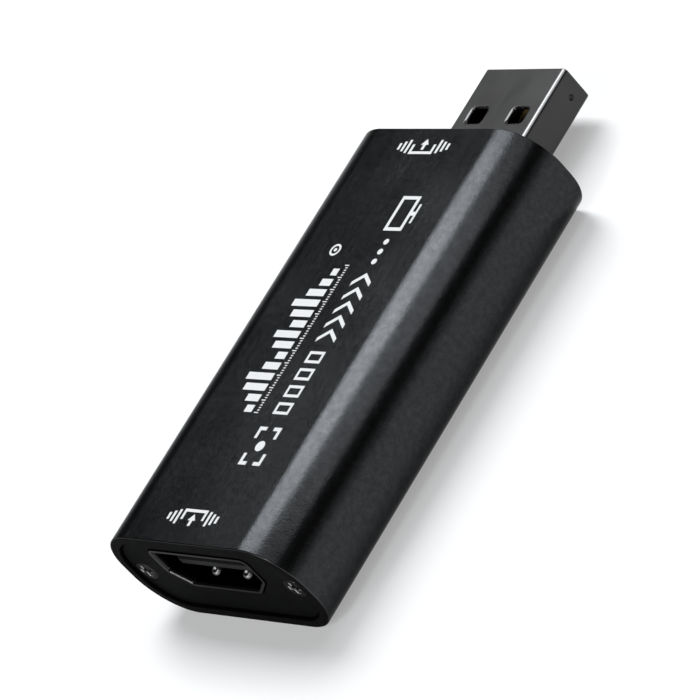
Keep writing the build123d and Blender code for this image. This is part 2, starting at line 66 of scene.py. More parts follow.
class Wire:
    # a node's output that takes part in Python arithmetic on single values
    def __init__(self, finish, socket):
        self.finish = finish
        self.socket = socket

    def maths(self, operation, first, second):
        return self.finish.add("ShaderNodeMath", {"operation": operation}, {0: first, 1: second})

    def __add__(self, other):
        return self.maths("ADD", self, other)

    def __radd__(self, other):
        return self.maths("ADD", other, self)

    def __sub__(self, other):
        return self.maths("SUBTRACT", self, other)

    def __rsub__(self, other):
        return self.maths("SUBTRACT", other, self)

    def __mul__(self, other):
        return self.maths("MULTIPLY", self, other)

    def __rmul__(self, other):
        return self.maths("MULTIPLY", other, self)

    def least(self, other):
        return self.maths("MINIMUM", self, other)


class Finish:
    # a material with one Principled shader
    def __init__(self, name):
        self.material = bpy.data.materials.new(name)
        self.material.use_nodes = True
        self.nodes = self.material.node_tree.nodes
        self.links = self.material.node_tree.links
        self.nodes.clear()
        output = self.nodes.new("ShaderNodeOutputMaterial")
        self.shader = self.nodes.new("ShaderNodeBsdfPrincipled")
        self.links.new(self.shader.outputs[0], output.inputs["Surface"])
        self.place = self.add("ShaderNodeTexCoord", {}, {}, "Object")

    def add(self, kind, settings, sockets, result=0):
        node = self.nodes.new(kind)
        for name, value in settings.items():
            setattr(node, name, value)
        for name, value in sockets.items():
            self.feed(node.inputs[name], value)
        return Wire(self, node.outputs[result])

    def feed(self, socket, value):
        if isinstance(value, Wire):
            self.links.new(value.socket, socket)
        else:
            socket.default_value = value

    def set(self, **sockets):
        for name, value in sockets.items():
            self.feed(self.shader.inputs[name.replace("_", " ")], value)

    def axis(self, name):
        return self.add("ShaderNodeSeparateXYZ", {}, {0: self.place}, name)

    def noise(self, size, detail, roughness, stretch=None):
        # size is that of one blotch, in millimetres; stretch is a factor for x, y and z
        place = self.place
        if stretch:
            place = self.add("ShaderNodeVectorMath", {"operation": "MULTIPLY"},
                             {0: place, 1: stretch})
        return self.add("ShaderNodeTexNoise", {}, {
            "Vector": place, "Scale": 1 / (size * mm), "Detail": detail, "Roughness": roughness,
        }, "Fac")

    def cells(self, size):
        return self.add("ShaderNodeTexVoronoi", {"feature": "F1"}, {
            "Vector": self.place, "Scale": 1 / (size * mm),
        }, "Distance")

    def between(self, value, low, high, first=0.0, second=1.0):
        # first where value is low, second where it is high, and never beyond the two
        return self.add("ShaderNodeMapRange", {"clamp": True}, {
            "Value": value, "From Min": low, "From Max": high, "To Min": first, "To Max": second,
        })

    def mixed(self, share, first, second):
        return self.add("ShaderNodeMix", {"data_type": "RGBA"}, {0: share, 6: first, 7: second}, 2)

    def bump(self, height, depth, strength):
        # depth is the height of a bump of 1, in millimetres
        return self.add("ShaderNodeBump", {}, {
            "Height": height, "Distance": depth * mm, "Strength": strength,
        })


def grey(value, warm=0.0):
    return (value * (1 + warm), value, value * (1 - warm), 1)


glanceTint = grey(0.5)  # keeps dark metal from turning pale at a glance


# Meshes

sameSpot = {"drawn": 1e-7, "cut": 5e-7, "packed": 1e-6}  # points nearer than this are one


def meshPiece(name, bm, finish, sharpAngle=None, replaced=()):
    # flat faces without a sharpAngle, and smooth ones below it
    bmesh.ops.remove_doubles(bm, verts=bm.verts, dist=sameSpot["drawn"])
    bmesh.ops.recalc_face_normals(bm, faces=bm.faces)
    mesh = bpy.data.meshes.new(name)
    bm.to_mesh(mesh)
    bm.free()
    if sharpAngle:
        mesh.shade_smooth()
        mesh.set_sharp_from_angle(angle=math.radians(sharpAngle))
    mesh.materials.append(finish.material)
    piece = bpy.data.objects.new(name, mesh)
    bpy.context.scene.collection.objects.link(piece)
    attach(piece, "root")
    if replaced:
        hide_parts(*replaced)
    return piece


def roundedLoop(halfWidth, halfHeight, radius, middle, steps):
    # points round a rounded rectangle in x and z, always in the same number
    loop = []
    corners = ((1, 1, 0), (-1, 1, 90), (-1, -1, 180), (1, -1, 270))
    for sideX, sideZ, start in corners:
        for step in range(steps + 1):
            angle = math.radians(start + 90 * step / steps)
            x = sideX * (halfWidth - radius) + radius * math.cos(angle)
            z = sideZ * (halfHeight - radius) + radius * math.sin(angle)
            loop.append((x, middle + z))
    return loop


def ring(bm, loop, y):
    return [bm.verts.new((x, y, z)) for x, z in loop]


def skin(bm, rings, secondBands=()):
    # faces from ring to ring; the bands listed in the last argument take the second material
    for band, (near, far) in enumerate(zip(rings, rings[1:])):
        count = len(near)
        for i in range(count):
            j = (i + 1) % count
            face = bm.faces.new((near[i], near[j], far[j], far[i]))
            face.material_index = 1 if band in secondBands else 0


# In the looks below, a noise is its size in millimetres, detail, roughness and any stretch

sleeve = {
    "length": 52.0 * mm, "width": 28.0 * mm, "height": 12.6 * mm, "sideFlat": 1.6 * mm,
    "wall": 1.6 * mm, "seatStep": 0.5 * mm, "seatDepth": 1.8 * mm,
    "edgeBreak": 0.12 * mm, "edgeRows": 5,
    "edgeGuard": 1.15,  # in edge breaks: a row beside the round edge that keeps the end flat
    "cornerSteps": 40, "sharpAngle": 30,
}
sleeveLook = {
    "colour": grey(0.025, -0.04), "speck": grey(0.043, -0.04), "wornAndPaintedHighlight": grey(0.05),
    "grain": (0.16, 3, 0.6), "pitSize": 0.224, "blotch": (0.7, 4, 0.7), "cloud": (9.0, 3, 0.5),
    "dieLines": (0.3, 3, 0.6, (1, 0.03, 1)),  # left along the box by the extrusion
    "speckRange": (0.6, 1.05), "glossRange": (0.6, 1.3), "roughness": (0.185, 0.285),
    # the lighter edges of both ends are wear and also a painted highlight along the rim
    "wearAndHighlightDepth": (0.144 * mm, 0.072 * mm), "leastWearAndHighlight": 0.35,
    "grainDepth": 0.02, "grainStrength": 0.6,
}
# the mouths' near-black colour and faint reflection are painted shade for the shaded end faces
cutAndPaintedShadeLook = {
    "dark": grey(0.003), "light": grey(0.006), "grain": (0.12, 3, 0.6),
    "millMarks": (0.3, 2, 0.5, (1, 1, 0.1)), "speckRange": (0.4, 0.7), "glossRange": (0.3, 0.7),
    "roughness": (0.5, 0.65), "grainDepth": 0.005, "grainStrength": 0.5, "specular": 0.008,
}
inputEnd = cadLow.y
outputEnd = inputEnd + sleeve["length"]
plugTip = cadHigh.y
topFace = sleeve["height"]
middleHeight = sleeve["height"] / 2


def sleeveFinish():
    # black anodised over a fine blasted grain, worn lighter at the edges of both ends, where the
    # lighter colour is also a painted highlight along the rim
    look = sleeveLook
    f = Finish("black_sleeve")
    grain = f.noise(*look["grain"])
    blotch = f.noise(*look["blotch"])
    cloud = f.noise(*look["cloud"])
    pits = f.cells(look["pitSize"])
    dieLines = f.noise(*look["dieLines"])
    speck = f.between(blotch + grain * 0.6, *look["speckRange"])
    plain = f.mixed(speck, look["colour"], look["speck"])
    y = f.axis("Y")
    depth = (y - inputEnd).least(outputEnd - y)
    # lighter colour at the edges of both ends: wear, and a painted highlight along the rim
    wearAndPaintedHighlight = f.between(depth, *look["wearAndHighlightDepth"]) * (blotch + look["leastWearAndHighlight"])
    gloss = cloud + dieLines * 0.6 + blotch * 0.4
    height = grain * 0.6 + pits * 0.4 + dieLines * 0.25
    f.set(
        Base_Color=f.mixed(wearAndPaintedHighlight, plain, look["wornAndPaintedHighlight"]),
        Roughness=f.between(gloss, *look["glossRange"], *look["roughness"]),
        Normal=f.bump(height, look["grainDepth"], look["grainStrength"]),
        Metallic=1.0,
        Specular_Tint=glanceTint,
    )
    return f


def cutAndPaintedShadeFinish():
    # the milled mouths, duller than the outside, and near black as painted shade for the shaded
    # end faces
    look = cutAndPaintedShadeLook
    f = Finish("black_sleeve_cut_painted_shade")
    grain = f.noise(*look["grain"])
    marks = f.noise(*look["millMarks"])
    f.set(
        Base_Color=f.mixed(f.between(grain, *look["speckRange"]), look["dark"], look["light"]),
        Roughness=f.between(marks, *look["glossRange"], *look["roughness"]),
        Normal=f.bump(grain + marks, look["grainDepth"], look["grainStrength"]),
        Specular_IOR_Level=look["specular"],
    )
    return f


def makeSleeve(finish, mouthPaintedShadeFinish):
    radius = (sleeve["height"] - sleeve["sideFlat"]) / 2

    def sleeveRing(inset, y):
        halfWidth, halfHeight = sleeve["width"] / 2 - inset, middleHeight - inset
        loop = roundedLoop(halfWidth, halfHeight, radius - inset, middleHeight,
                           sleeve["cornerSteps"])
        return ring(bm, loop, y)

    # inset from the outside and depth into the mouth, from the wall inside to the outside
    wall, seat, edge = sleeve["wall"], sleeve["seatDepth"], sleeve["edgeBreak"]
    mouth = wall - sleeve["seatStep"]
    innerBreak = edge / 3
    lip = [(wall, seat), (mouth, seat), (mouth, innerBreak), (mouth - innerBreak, 0),
           (edge * sleeve["edgeGuard"], 0)]
    firstOuter = 1 + len(lip)
    for row in range(sleeve["edgeRows"] + 1):
        turn = math.radians(90 * row / sleeve["edgeRows"])
        lip.append((edge * (1 - math.sin(turn)), edge * (1 - math.cos(turn))))

    bm = bmesh.new()
    rings = [sleeveRing(wall, 0)]
    rings += [sleeveRing(inset, inputEnd + depth) for inset, depth in lip]
    rings += [sleeveRing(inset, outputEnd - depth) for inset, depth in reversed(lip)]
    rings.append(sleeveRing(wall, 0))
    outer = range(firstOuter, len(rings) - firstOuter - 1)
    # the end bands take the mouth finish, whose near-black colour is painted shade
    skin(bm, rings, [band for band in range(len(rings)) if band not in outer])
    piece = meshPiece("sleeve_tube", bm, finish, sleeve["sharpAngle"], ["sleeve"])
    piece.data.materials.append(mouthPaintedShadeFinish.material)
    print("sleeve made,", len(piece.data.polygons), "faces")


# Print on the top face: plain signs, in millimetres across and from the input end

printLook = {
    "lift": 0.004 * mm, "thickness": 0.012 * mm, "arcSteps": 40,
    "thin": grey(0.5472), "full": grey(0.76), "grain": (0.14, 3, 0.65), "cloud": (2.5, 2, 0.5),
    "thinRange": (0.36, 0.58), "glossRange": (0.3, 0.7), "roughness": (0.42, 0.6),
    "grainDepth": 0.006, "grainStrength": 0.5, "specular": 0.3,
}


def printFinish():
    look = printLook
    f = Finish("white_print")
    grain = f.noise(*look["grain"])
    cover = f.between(grain + f.noise(*look["cloud"]) * 0.4, *look["thinRange"])
    f.set(
        Base_Color=f.mixed(cover, look["thin"], look["full"]),
        Roughness=f.between(grain, *look["glossRange"], *look["roughness"]),
        Normal=f.bump(grain, look["grainDepth"], look["grainStrength"]),
        Specular_IOR_Level=look["specular"],
    )
    return f


class PrintSheet:
    # flat inked shapes, each a thin solid
    def __init__(self):
        self.bm = bmesh.new()
        self.low = topFace + printLook["lift"]
        self.high = self.low + printLook["thickness"]

    def shape(self, points):
        low = [self.bm.verts.new((x * mm, inputEnd + y * mm, self.low)) for x, y in points]
        high = [self.bm.verts.new((x * mm, inputEnd + y * mm, self.high)) for x, y in points]
        self.bm.faces.new(high)
        self.bm.faces.new(low[::-1])
        skin(self.bm, [low, high])

    def bar(self, x0, y0, x1, y1):
        # between any two opposite corners
        (left, right), (near, far) = sorted((x0, x1)), sorted((y0, y1))
        self.shape([(left, near), (right, near), (right, far), (left, far)])

    def disc(self, x, y, radius, hole=0.0):
        steps = printLook["arcSteps"]
        turns = [2 * math.pi * i / steps for i in range(steps)]
        outer = [(x + radius * math.cos(t), y + radius * math.sin(t)) for t in turns]
        if not hole:
            self.shape(outer)
            return
        inner = [(x + hole * math.cos(t), y + hole * math.sin(t)) for t in turns]
        for i in range(steps):
            j = (i + 1) % steps
            self.shape([outer[i], outer[j], inner[j], inner[i]])

    def openFrame(self, x, y, half, length, stroke):
        low, high = y - length, y + length
        self.bar(x - half, low, x - half + stroke, high)
        self.bar(x + half - stroke, low, x + half, high)
        self.bar(x - half + stroke, low, x + half - stroke, low + stroke)
        self.bar(x - half + stroke, high - stroke, x + half - stroke, high)


levels = {
    "start": 15.9, "end": 34.3, "foot": -1.35, "reach": 3.9, "fill": 0.66,
    "shares": (0.3, 0.52, 0.86, 1.0, 0.62, 0.38, 0.74, 0.94, 0.56, 0.8, 1.0, 0.68, 0.42, 0.24),
}
rule = {
    "foot": -0.3, "spaces": 60, "every": 5, "long": 0.62, "short": 0.34, "halfStroke": 0.06,
}
target = {"place": (-3.8, 36.2), "radius": 0.75, "hole": 0.5, "dot": 0.22}


def drawLevels(sheet):
    # bold level bars, all standing on one line
    pitch = (levels["end"] - levels["start"]) / len(levels["shares"])
    for i, share in enumerate(levels["shares"]):
        y = levels["start"] + i * pitch
        sheet.bar(levels["foot"] - levels["reach"] * share, y,
                  levels["foot"], y + pitch * levels["fill"])


def drawRule(sheet):
    # a fine rule under the bars, as long as their row
    start, end, foot = levels["start"], levels["end"], rule["foot"]
    for i in range(rule["spaces"] + 1):
        y = start + (end - start) * i / rule["spaces"]
        mark = rule["short"] if i % rule["every"] else rule["long"]
        sheet.bar(foot - mark, y - rule["halfStroke"], foot, y + rule["halfStroke"])


def drawTarget(sheet):
    sheet.disc(*target["place"], target["radius"], target["hole"])
    sheet.disc(*target["place"], target["dot"])


# the row beside the bars: viewfinder, picture frames, chevrons, dots and a screen
signRow = {"x": 3.0, "stroke": 0.42}
viewfinder = {"y": 12.0, "half": 1.65, "length": 2.3, "across": 1.15, "along": 1.4, "dot": 0.62}
pictureFrames = {
    "count": 4, "y": 16.6, "pitch": 2.1, "half": 1.15, "length": 0.72, "stroke": 0.336,
}
chevrons = {"count": 5, "y": 25.05, "pitch": 1.75, "half": 1.42, "rise": 1.12, "stroke": 0.546}
dots = {"count": 3, "y": 34.9, "pitch": 1.25, "radius": 0.36}
screen = {
    "shift": -0.2, "y": 41.0, "half": 1.35, "length": 2.2,
    "neckFrom": 1.15, "neckTo": 1.6, "neckHalf": 0.25, "footHalf": 1.2, "footStroke": 0.294,
}


def drawViewfinder(sheet, x, y):
    # four corners round a dot
    for sideX in (-1, 1):
        for sideY in (-1, 1):
            cornerX = x + sideX * viewfinder["half"]
            cornerY = y + sideY * viewfinder["length"]
            inner = cornerY - sideY * signRow["stroke"]
            sheet.bar(cornerX, cornerY, cornerX - sideX * viewfinder["across"], inner)
            sheet.bar(cornerX, inner,
                      cornerX - sideX * signRow["stroke"], cornerY - sideY * viewfinder["along"])
    sheet.disc(x, y, viewfinder["dot"])


def drawChevron(sheet, x, y):
    # two strokes that meet in a point along the box
    half, rise, stroke = chevrons["half"], chevrons["rise"], chevrons["stroke"]
    under, over = y - stroke / 2, y + stroke / 2
    sheet.shape([(x - half, under), (x, under + rise), (x + half, under),
                 (x + half, over), (x, over + rise), (x - half, over)])


def drawRow(sheet):
    x = signRow["x"]
    drawViewfinder(sheet, x, viewfinder["y"])
    for i in range(pictureFrames["count"]):
        sheet.openFrame(x, pictureFrames["y"] + pictureFrames["pitch"] * i, pictureFrames["half"],
                        pictureFrames["length"], pictureFrames["stroke"])
    for i in range(chevrons["count"]):
        drawChevron(sheet, x, chevrons["y"] + chevrons["pitch"] * i)
    for i in range(dots["count"]):
        sheet.disc(x, dots["y"] + dots["pitch"] * i, dots["radius"])
    y = screen["y"]
    sheet.openFrame(x + screen["shift"], y, screen["half"], screen["length"], signRow["stroke"])
    foot = x + screen["neckTo"]
    sheet.bar(x + screen["neckFrom"], y - screen["neckHalf"], foot, y + screen["neckHalf"])
    sheet.bar(foot, y - screen["footHalf"], foot + screen["footStroke"], y + screen["footHalf"])


socketSign = {
    "input": (-0.3, 3.1), "output": (-0.2, 49.6),
    "floor": 0.98, "reach": 1.75, "depth": 1.25, "stroke": 0.34,
    "dashes": 3, "dashFrom": 2.3, "dashPitch": 0.66, "dashHalf": 0.85, "dashLoss": 0.22,
    "tail": 0.98, "tip": 0.42, "shaft": 0.4, "head": 0.75, "headHalf": 0.5625,
}


def drawArrow(sheet, x, tail, tip):
    # along the box, with a solid head
    half, wing, neck = socketSign["shaft"] / 2, socketSign["headHalf"], tip - socketSign["head"]
    sheet.bar(x - half, tail, x + half, neck)
    sheet.shape([(x - wing, neck), (x + wing, neck), (x, tip)])


def drawSocketSign(sheet, x, y, way):
    # an arrow into a tray (way 1) or out of one (way -1), with a fan of dashes at each side
    sign, stroke = socketSign, socketSign["stroke"]
    floor = y + way * sign["floor"]
    inner = floor - way * stroke
    sheet.bar(x - sign["reach"], floor, x + sign["reach"], inner)
    for side in (-1, 1):
        edge = x + side * sign["reach"]
        sheet.bar(edge, inner, edge - side * stroke, floor - way * sign["depth"])
        for step in range(sign["dashes"]):
            middle = x + side * (sign["dashFrom"] + sign["dashPitch"] * step)
            half = sign["dashHalf"] - sign["dashLoss"] * step
            sheet.bar(middle - stroke / 2, y - half, middle + stroke / 2, y + half)
    drawArrow(sheet, x, *sorted((y - way * sign["tail"], y + way * sign["tip"])))


def makePrint(finish):
    sheet = PrintSheet()
    drawLevels(sheet)
    drawRule(sheet)
    drawRow(sheet)
    drawTarget(sheet)
    drawSocketSign(sheet, *socketSign["input"], 1)
    drawSocketSign(sheet, *socketSign["output"], -1)
    piece = meshPiece("top_print", sheet.bm, finish)
    print("print laid on the top,", len(piece.data.polygons), "faces")


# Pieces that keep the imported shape, with every hard edge broken

softEdges = {  # width of the break in millimetres, and its rows
    "socket_shell": (0.05, 3), "input_end_plate": (0.06, 2), "output_end_plate": (0.06, 2),
    "input_plate_screws": (0.09, 4), "output_plate_screws": (0.09, 4),
    "plug_insulator": (0.06, 2), "socket_insulator": (0.04, 2),
}
hardAngle = math.radians(35)
flatAngle = math.radians(1)


def packedShape(node):
    # a copy of a node's mesh, with its flats whole again
    bm = bmesh.new()
    bm.from_mesh(frame["nodes"][node].data)
    bmesh.ops.remove_doubles(bm, verts=bm.verts, dist=sameSpot["packed"])
    bmesh.ops.dissolve_limit(bm, angle_limit=flatAngle, verts=bm.verts, edges=bm.edges)
    return bm


def finishedCopy(node, bm, finish, edgeBreak=None):
    rough = bpy.data.meshes.new(node + "_rough")
    bm.to_mesh(rough)
    bm.free()
    rough.shade_smooth()
    rough.set_sharp_from_angle(angle=hardAngle)
    piece = bpy.data.objects.new(node + "_soft", rough)
    bpy.context.scene.collection.objects.link(piece)
    if edgeBreak:
        width, rows = edgeBreak
        bevel = piece.modifiers.new("bevel", "BEVEL")
        bevel.width = width * mm
        bevel.segments = rows
        bevel.limit_method = "ANGLE"
        bevel.angle_limit = hardAngle
        bevel.use_clamp_overlap = True
    level = piece.modifiers.new("level", "WEIGHTED_NORMAL")  # keeps the flats flat
    level.keep_sharp = not edgeBreak
    level.weight = 100
    graph = bpy.context.evaluated_depsgraph_get()
    mesh = bpy.data.meshes.new_from_object(piece.evaluated_get(graph))
    piece.modifiers.clear()
    piece.data = mesh
    bpy.data.meshes.remove(rough)
    mesh.name = node + "_soft"
    mesh.materials.clear()
    mesh.materials.append(finish.material)
    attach(piece, "root")
    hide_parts(node)


def breakEdges(finishes):
    for part in frame["record"]["subparts"]:
        node, slot = part["node"], part["material_slot"]
        if node in softEdges:
            finishedCopy(node, packedShape(node), finishes[slot], softEdges[node])
    print("edges broken on", len(softEdges), "pieces")


plugShell = {
    "width": 12.0 * mm, "height": 4.5 * mm, "wall": 0.3 * mm,
    "foldRadius": 0.5 * mm, "foldSteps": 14, "tipEdge": 0.1 * mm, "tipRows": 3,
    "innerCut": 1.0 * mm,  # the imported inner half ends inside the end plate
    "windowWidth": 2.3 * mm, "windowLength": 2.0 * mm, "windowX": 3.05 * mm,
    "windowBehindTip": 6.2 * mm, "windowCorner": 0.4 * mm, "windowSteps": 8,
    "windowRoll": 0.27 * mm, "rollRows": 7, "punchAbove": 0.1 * mm, "punchBelow": 0.2 * mm,
    "dimpleRadius": 0.36 * mm, "dimpleDepth": 0.25 * mm, "dimpleBehindTip": 1.8 * mm,
    "dimpleDrop": 0.25 * mm, "dimpleTurns": 40, "dimpleRings": 24,
    "seamGap": 0.08 * mm, "seamInside": 3.0 * mm, "seamPastTip": 1.0 * mm, "seamOver": 0.1 * mm,
    "tabWidth": 1.2 * mm, "tabLength": 2.4 * mm, "tabFlare": 0.35 * mm,
    "leastMitre": 0.35,  # keeps the slit's sharp corners short
}


def windowPunch(bm, x, y, surface, out):
    # a punch whose rim flares, so that the sheet rolls into the window
    roll, rows = plugShell["windowRoll"], plugShell["rollRows"]
    profile = [(roll, -plugShell["punchAbove"])]
    for row in range(rows + 1):
        turn = math.pi / 2 * row / rows
        profile.append((roll * (1 - math.sin(turn)), roll * (1 - math.cos(turn))))
    profile.append((0, plugShell["wall"] + plugShell["punchBelow"]))
    halfWidth, halfLength = plugShell["windowWidth"] / 2, plugShell["windowLength"] / 2
    rings = []
    for grow, depth in profile:
        loop = roundedLoop(halfWidth + grow, halfLength + grow, plugShell["windowCorner"] + grow,
                           0, plugShell["windowSteps"])
        rings.append([bm.verts.new((x + px, y + py, surface - out * depth)) for px, py in loop])
    skin(bm, rings)
    bm.faces.new(rings[0])
    bm.faces.new(rings[-1][::-1])


def seamCutter(bm, floor):
    # the slit where the folded sheet meets, with its locking tab
    tab, flare, over = plugShell["tabWidth"], plugShell["tabFlare"], plugShell["seamOver"]
    middle = (outputEnd + plugTip) / 2
    start, end = middle - plugShell["tabLength"] / 2, middle + plugShell["tabLength"] / 2
    spots = [Vector(spot) for spot in (
        (0, outputEnd - plugShell["seamInside"]), (0, start + flare), (tab, start),
        (tab, end), (0, end - flare), (0, plugTip + plugShell["seamPastTip"]),
    )]
    ways = [(after - before).normalized() for before, after in zip(spots, spots[1:])]
    left, right = [], []
    for here, before, after in zip(spots, ways[:1] + ways, ways + ways[-1:]):
        along = (before + after).normalized()
        side = Vector((-along.y, along.x))
        straight = Vector((-after.y, after.x))
        side *= plugShell["seamGap"] / 2 / max(plugShell["leastMitre"], side.dot(straight))
        left.append(here + side)
        right.append(here - side)
    loop = left + right[::-1]
    low = [bm.verts.new((spot.x, spot.y, floor - over)) for spot in loop]
    high = [bm.verts.new((spot.x, spot.y, floor + plugShell["wall"] + over)) for spot in loop]
    skin(bm, [low, high])
    bm.faces.new(low[::-1])
    bm.faces.new(high)


def cutAway(bm, cutters):
    # what the cutters leave of bm
    pieces = []
    for name, shape in (("plug_blank", bm), ("plug_cutters", cutters)):
        bmesh.ops.recalc_face_normals(shape, faces=shape.faces)
        mesh = bpy.data.meshes.new(name)
        shape.to_mesh(mesh)
        shape.free()
        piece = bpy.data.objects.new(name, mesh)
        bpy.context.scene.collection.objects.link(piece)
        pieces.append(piece)
    cut = pieces[0].modifiers.new("cut", "BOOLEAN")
    cut.object = pieces[1]
    cut.operation = "DIFFERENCE"
    cut.solver = "EXACT"
    graph = bpy.context.evaluated_depsgraph_get()
    mesh = bpy.data.meshes.new_from_object(pieces[0].evaluated_get(graph))
    done = bmesh.new()
    done.from_mesh(mesh)
    for piece in pieces:
        data = piece.data
        bpy.data.objects.remove(piece)
        bpy.data.meshes.remove(data)
    bpy.data.meshes.remove(mesh)
    bmesh.ops.remove_doubles(done, verts=done.verts, dist=sameSpot["cut"])
    return done


def plugBlank(start, middle):
    # the folded tube with a round tip, still without windows
    def plugRing(inset, y):
        halfWidth, halfHeight = plugShell["width"] / 2 - inset, plugShell["height"] / 2 - inset
        loop = roundedLoop(halfWidth, halfHeight, plugShell["foldRadius"] - inset, middle,
                           plugShell["foldSteps"])
        return ring(bm, loop, y)

    bm = bmesh.new()
    edge, rows = plugShell["tipEdge"], plugShell["tipRows"]
    rings = [plugRing(0, start)]
    for row in range(rows + 1):
        turn = math.pi / 2 * row / rows
        rings.append(plugRing(edge * (1 - math.cos(turn)), plugTip - edge * (1 - math.sin(turn))))
    rings.append(plugRing(plugShell["wall"], plugTip))
    rings.append(plugRing(plugShell["wall"], start))
    skin(bm, rings + [rings[0]])
    return bm


def plugCutters(top, middle):
    # windows, side dimples and the seam
    bm = bmesh.new()
    floor = top - plugShell["height"]
    windowY = plugTip - plugShell["windowBehindTip"]
    ballX = plugShell["width"] / 2 + plugShell["dimpleRadius"] - plugShell["dimpleDepth"]
    ballY, ballZ = plugTip - plugShell["dimpleBehindTip"], middle - plugShell["dimpleDrop"]
    for side in (-1, 1):
        windowPunch(bm, side * plugShell["windowX"], windowY, top, 1)
        windowPunch(bm, side * plugShell["windowX"], windowY, floor, -1)
        place = Matrix.Translation((side * ballX, ballY, ballZ))
        bmesh.ops.create_uvsphere(
            bm, u_segments=plugShell["dimpleTurns"], v_segments=plugShell["dimpleRings"],
            radius=plugShell["dimpleRadius"], matrix=place)
    seamCutter(bm, floor)
    return bm


def makePlugShell(finish):
    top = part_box("plug_shell")[1].z
    middle = top - plugShell["height"] / 2
    start = outputEnd - plugShell["innerCut"]
    shell = cutAway(plugBlank(start, middle), plugCutters(top, middle))

    inner = packedShape("plug_shell")
    everything = list(inner.verts) + list(inner.edges) + list(inner.faces)
    bmesh.ops.bisect_plane(inner, geom=everything, plane_co=(0, start, 0), plane_no=(0, 1, 0),
                           clear_outer=True)
    held = bpy.data.meshes.new("plug_inner_half")
    inner.to_mesh(held)
    inner.free()
    shell.from_mesh(held)
    bpy.data.meshes.remove(held)
    print("plug shell cut,", len(shell.faces), "faces")
    finishedCopy("plug_shell", shell, finish)


domes = {
    "x": 2.4 * mm, "fromMouth": 1.7 * mm, "foot": 5.465 * mm, "slope": 24.4,
    "halfWidth": 0.66 * mm, "halfLength": 0.62 * mm, "height": 0.3 * mm,
    "rings": 14, "turns": 36, "crest": 0.5, "dip": 0.6, "sharpAngle": 60,
}


def domeHeight(share):
    # share runs from 0 at the foot to 1 at the middle: a round rim with a dished middle
    if share < domes["crest"]:
        return domes["height"] * math.sin(math.pi / 2 * share / domes["crest"])
    inside = (share - domes["crest"]) / (1 - domes["crest"])
    return domes["height"] * (1 - domes["dip"] * math.sin(math.pi / 2 * inside) ** 2)


def makeDomes(finish):
    # the dished contact points pressed into the front slopes of the lower springs
    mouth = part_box("socket_shell")[0].y
    slope = Matrix.Rotation(math.radians(domes["slope"]), 4, "X")
    turns = [2 * math.pi * i / domes["turns"] for i in range(domes["turns"])]
    bm = bmesh.new()
    for side in (-1, 1):
        place = Matrix.Translation((side * domes["x"], mouth + domes["fromMouth"], domes["foot"]))
        place = place @ slope
        rings = []
        for level in range(domes["rings"]):
            share = level / domes["rings"]
            halfWidth = domes["halfWidth"] * (1 - share)
            halfLength = domes["halfLength"] * (1 - share)
            rings.append([bm.verts.new(place @ Vector((
                halfWidth * math.cos(t), halfLength * math.sin(t), domeHeight(share),
            ))) for t in turns])
        skin(bm, rings)
        crown = bm.verts.new(place @ Vector((0, 0, domeHeight(1))))
        last = rings[-1]
        for i in range(len(last)):
            bm.faces.new((last[i], last[(i + 1) % len(last)], crown))
        bm.faces.new(rings[0][::-1])
    meshPiece("spring_domes", bm, finish, domes["sharpAngle"])
    print("domes set on the lower springs")


# Finishes of the pieces that come from the imported model

# the rubbed, lighter folds and window rims are also a painted highlight
plugLook = {
    "plain": grey(0.056, 0.01), "stain": grey(0.044, 0.02), "rubbedAndPaintedHighlight": grey(0.22),
    "rolled": (0.35, 2, 0.5, (1, 0.04, 1)), "scuff": (1.1, 3, 0.6, (1, 0.1, 1)),
    "cloud": (5.0, 2, 0.5), "stainRange": (0.4, 1.0), "glossRange": (0.4, 1.1),
    "roughness": (0.26, 0.34), "rubbedGloss": 0.12, "grainDepth": 0.0006, "grainStrength": 0.5,
    "rubAndHighlightStart": (0.005 * mm, 0.05 * mm), "rubAndHighlightEnd": (0.3 * mm, 0.12 * mm),
}
# the plating's dark tone is painted shade for the shaded mouth
socketLook = {
    "dark": grey(0.028, 0.04), "light": grey(0.056, 0.03),
    "rolled": (0.18, 3, 0.6, (1, 0.05, 1)), "cloud": (2.2, 3, 0.6),
    "glossRange": (0.4, 1.1), "roughness": (0.12, 0.24), "grainDepth": 0.002, "grainStrength": 0.4,
}
# the plate is black, and its extra darkness with almost no reflection is painted shade for the
# shaded end face
plateLook = {
    "dark": grey(0.003, -0.04), "light": grey(0.007, -0.04),
    "grain": (0.12, 3, 0.6), "cloud": (5.0, 3, 0.5), "speckRange": (0.4, 0.7),
    "glossRange": (0.3, 0.7), "roughness": (0.5, 0.62),
    "grainDepth": 0.008, "grainStrength": 0.6, "specular": 0.008,
}
screwLook = {
    "black": (grey(0.013, 0.02), grey(0.028, 0.02)), "bareAndPaintedGlint": (grey(0.45, 0.02), grey(0.7, 0.02)),
    "turned": (0.08, 2, 0.5), "cloud": (0.9, 3, 0.6), "glossRange": (0.3, 0.9),
    "roughness": (0.2, 0.38), "grainDepth": 0.003, "grainStrength": 0.6,
    # the bare edges are wear and also painted glints
    "faceIn": 0.3 * mm, "bareAndGlintStart": (0.01 * mm, 0.04 * mm), "bareAndGlintEnd": (0.3 * mm, 0.14 * mm),
}
boardLook = {
    "dark": (0.006, 0.045, 0.022, 1), "light": (0.015, 0.11, 0.055, 1),
    "weave": 1.6, "warp": grey(0.0), "weft": grey(0.35), "gap": grey(1.0),
    "gapWidth": 0.03, "threadLength": 0.9, "threadWidth": 0.55, "blank": grey(0.2),
    "cloud": (3.0, 3, 0.6), "glossRange": (0.3, 0.7), "roughness": (0.25, 0.4),
    "grainDepth": 0.02, "grainStrength": 0.4,
}
